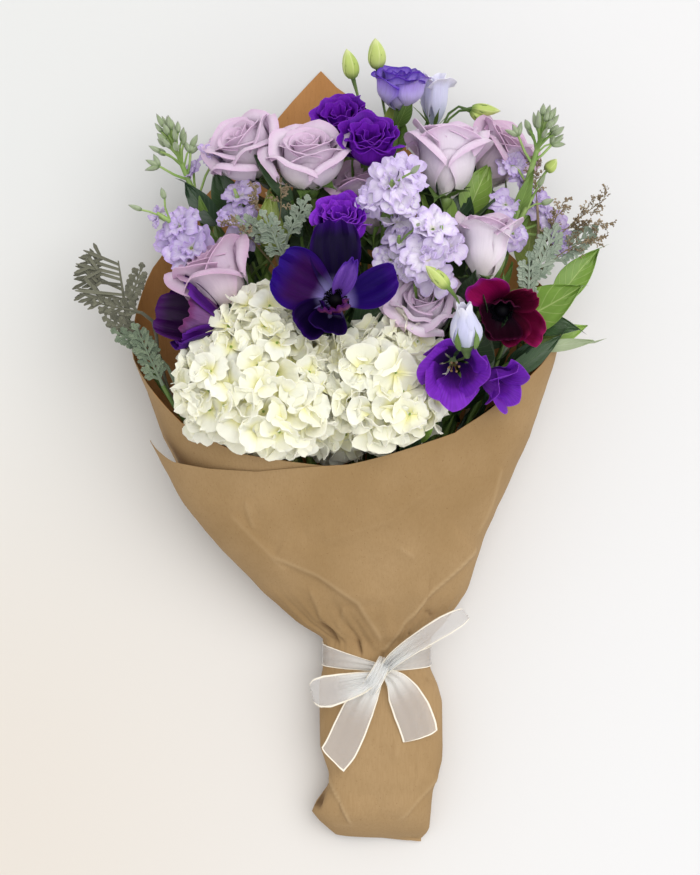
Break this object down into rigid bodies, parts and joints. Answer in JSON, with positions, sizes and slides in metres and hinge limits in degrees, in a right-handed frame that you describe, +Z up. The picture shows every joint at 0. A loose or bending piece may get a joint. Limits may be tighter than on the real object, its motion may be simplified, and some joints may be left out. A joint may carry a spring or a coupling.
{
  "type": "mixed flower bouquet",
  "caption": "Hand-tied bouquet of roses, lisianthus, anemones, hydrangeas, stock and foliage, rolled in kraft paper with an organza bow, lying on its back.",
  "frame": {"origin": "under the middle of the bouquet's box, on the surface it lies on", "axes": "+Z up; +Y along the stems, from the closed tail of the wrap to the flowers; +X to the right, seen from above with the flowers away from the viewer"},
  "size_m": [0.4198, 0.6092, 0.1749],
  "materials": {
    "mauve_rose": "matt velvety petals, pinkish rims, greenish at the base",
    "violet_lisianthus": "silky ruffled petals",
    "indigo_anemone": "dark satin petals round a black centre",
    "cream_hydrangea": "matt petals, yellow-green in the shade",
    "lilac_stock": "matt ruffled florets with grey-green buds",
    "silver_leaf": "felted, silvery",
    "sea_lavender": "dry thin sprays",
    "green_leaf": "waxy, with veins",
    "kraft_paper": "matt brown kraft paper, creased",
    "organza": "sheer organza with satin edges",
    "rubber_band": "matt"
  },
  "bodies": {
    "root": {"rose_1": "mauve_rose", "rose_2": "mauve_rose", "rose_3": "mauve_rose", "rose_4": "mauve_rose", "rose_5": "mauve_rose", "rose_6": "mauve_rose", "rose_7": "mauve_rose", "rose_8": "mauve_rose", "lisianthus_1": "violet_lisianthus", "lisianthus_2": "violet_lisianthus", "lisianthus_3": "violet_lisianthus", "lisianthus_4": "violet_lisianthus", "lisianthus_5": "violet_lisianthus", "lisianthus_6": "violet_lisianthus", "lisianthus_7": "violet_lisianthus", "anemone_1": "indigo_anemone", "anemone_2": "indigo_anemone", "anemone_3": "indigo_anemone", "hydrangea_1": "cream_hydrangea", "hydrangea_2": "cream_hydrangea", "stock_1": "lilac_stock", "stock_2": "lilac_stock", "stock_3": "lilac_stock", "stock_4": "lilac_stock", "stock_5": "lilac_stock", "stock_6": "lilac_stock", "stock_7": "lilac_stock", "stock_8": "lilac_stock", "dusty_miller_1": "silver_leaf", "dusty_miller_2": "silver_leaf", "dusty_miller_3": "silver_leaf", "dusty_miller_4": "silver_leaf", "sea_lavender_1": "sea_lavender", "sea_lavender_2": "sea_lavender", "sea_lavender_3": "sea_lavender", "leaf_twig_1": "green_leaf", "leaf_twig_2": "green_leaf", "leaf_twig_3": "green_leaf", "leaf_twig_4": "green_leaf", "leaf_twig_5": "green_leaf", "kraft_paper": "kraft_paper", "organza_ribbon": "organza", "stem_binding": "rubber_band"}
  },
  "joints": []
}
